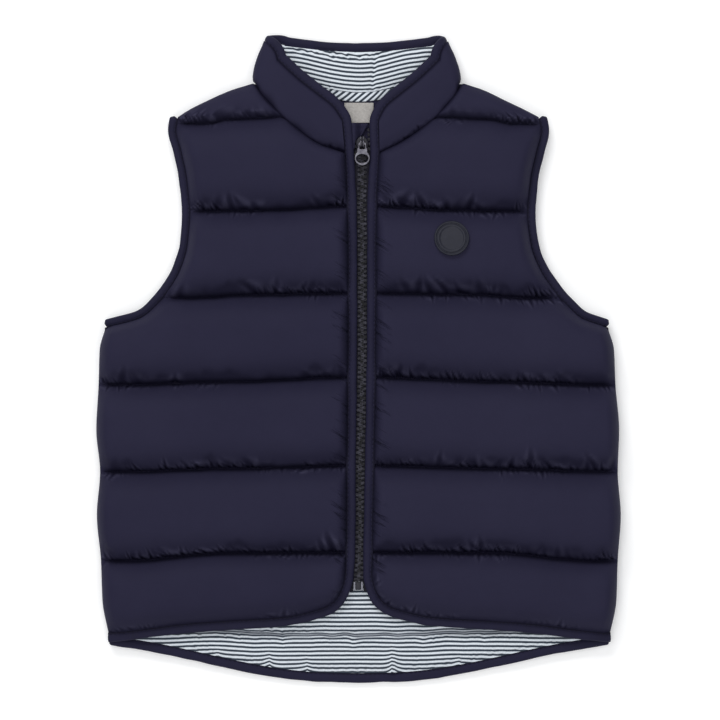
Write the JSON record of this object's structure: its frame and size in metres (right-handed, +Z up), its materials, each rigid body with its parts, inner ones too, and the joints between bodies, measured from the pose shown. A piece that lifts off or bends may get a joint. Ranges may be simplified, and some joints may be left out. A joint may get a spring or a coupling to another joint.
{
  "type": "quilted vest, laid flat",
  "caption": "Sleeveless padded vest with horizontal quilting, stand collar, front zip, bound edges and a dropped tail, laid flat on its back.",
  "frame": {"origin": "centre of the bounding box's base, on the surface that the vest lies on", "axes": "+Z up out of the surface, +Y from the tail to the collar, +X towards the wearer's left"},
  "size_m": [0.3557, 0.4395, 0.0318],
  "materials": {
    "shell": "smooth navy downproof polyester, soft low sheen",
    "binding": "navy folded stretch binding with a faint rib",
    "striped_jersey": "white cotton jersey with fine navy stripes",
    "striped_tape": "white and navy jersey cut on the bias",
    "label": "grey-beige woven satin",
    "zip": "near-black moulded teeth on a navy woven tape",
    "gunmetal": "dark gunmetal with worn edges",
    "stop_metal": "clear grey moulded retainer",
    "rubber": "matt slate rubber"
  },
  "bodies": {
    "garment": {"back_panel": "shell", "front_right_panel": "shell", "front_left_panel": "shell", "collar": "shell", "collar_lining": "striped_jersey", "tail_lining": "striped_jersey", "neck_tape": "striped_tape", "neck_label": "label", "edge_binding_right": "binding", "edge_binding_left": "binding", "armhole_binding_right_front": "binding", "armhole_binding_right_back": "binding", "armhole_binding_left_front": "binding", "armhole_binding_left_back": "binding", "tail_binding": "binding", "zip_tape_right": "zip", "zip_tape_left": "zip", "zip_guard": "shell", "zip_box": "stop_metal", "zip_slider": "gunmetal", "badge": "rubber"},
    "pull_tab": {"pull_tab": "gunmetal"}
  },
  "joints": [
    {"name": "pull_tab_hinge", "type": "hinge", "parent": "garment", "child": "pull_tab", "pos_m": [0.0025, 0.1467, 0.0185], "axis": [-1, 0, 0], "range_deg": [0, 150]}
  ]
}
